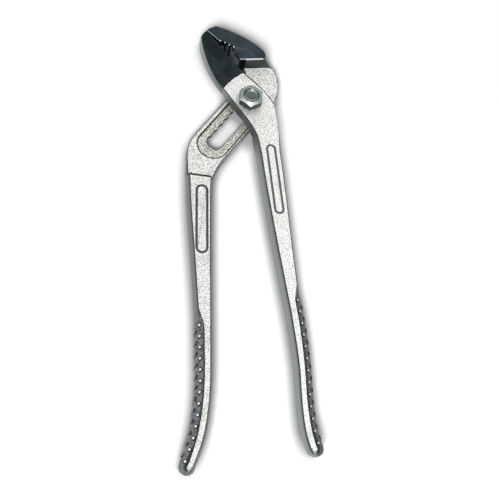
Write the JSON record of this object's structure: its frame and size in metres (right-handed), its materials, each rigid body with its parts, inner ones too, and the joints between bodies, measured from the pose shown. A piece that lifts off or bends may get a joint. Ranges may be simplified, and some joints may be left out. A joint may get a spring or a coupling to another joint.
{
  "type": "water pump pliers",
  "caption": "Slip-joint water pump pliers: plated forged levers with toothed jaws and dimpled grips, joined by a bolt and hex nut that shift along a notched slot.",
  "frame": {"origin": "on the pivot bolt's axis, at the flat back of its head, in the plane of the tool's back", "axes": "+Y from the handles towards the jaws along the slotted lever's straight handle, +Z out of the front along the bolt, towards the nut"},
  "size_m": [0.071, 0.2527, 0.0182],
  "materials": {
    "slotted_lever": "bright plated forging with a fine grain, its jaw polished dark",
    "front_lever": "bright plated forging with a fine grain, its jaw polished dark",
    "pivot_bolt": "turned steel",
    "hex_nut": "machined steel"
  },
  "bodies": {
    "slotted_lever": {"slotted_lever": "slotted_lever"},
    "pivot": {"pivot_bolt": "pivot_bolt", "hex_nut": "hex_nut"},
    "front_lever": {"front_lever": "front_lever"}
  },
  "joints": [
    {"name": "slot_shift", "type": "slide", "parent": "slotted_lever", "child": "pivot", "axis": [-0.6252, -0.7804, 0], "range_m": [0, 0.03]},
    {"name": "handle_swing", "type": "hinge", "parent": "pivot", "child": "front_lever", "pos_m": [0, 0, 0], "axis": [0, 0, 1], "range_deg": [0, 35]}
  ]
}
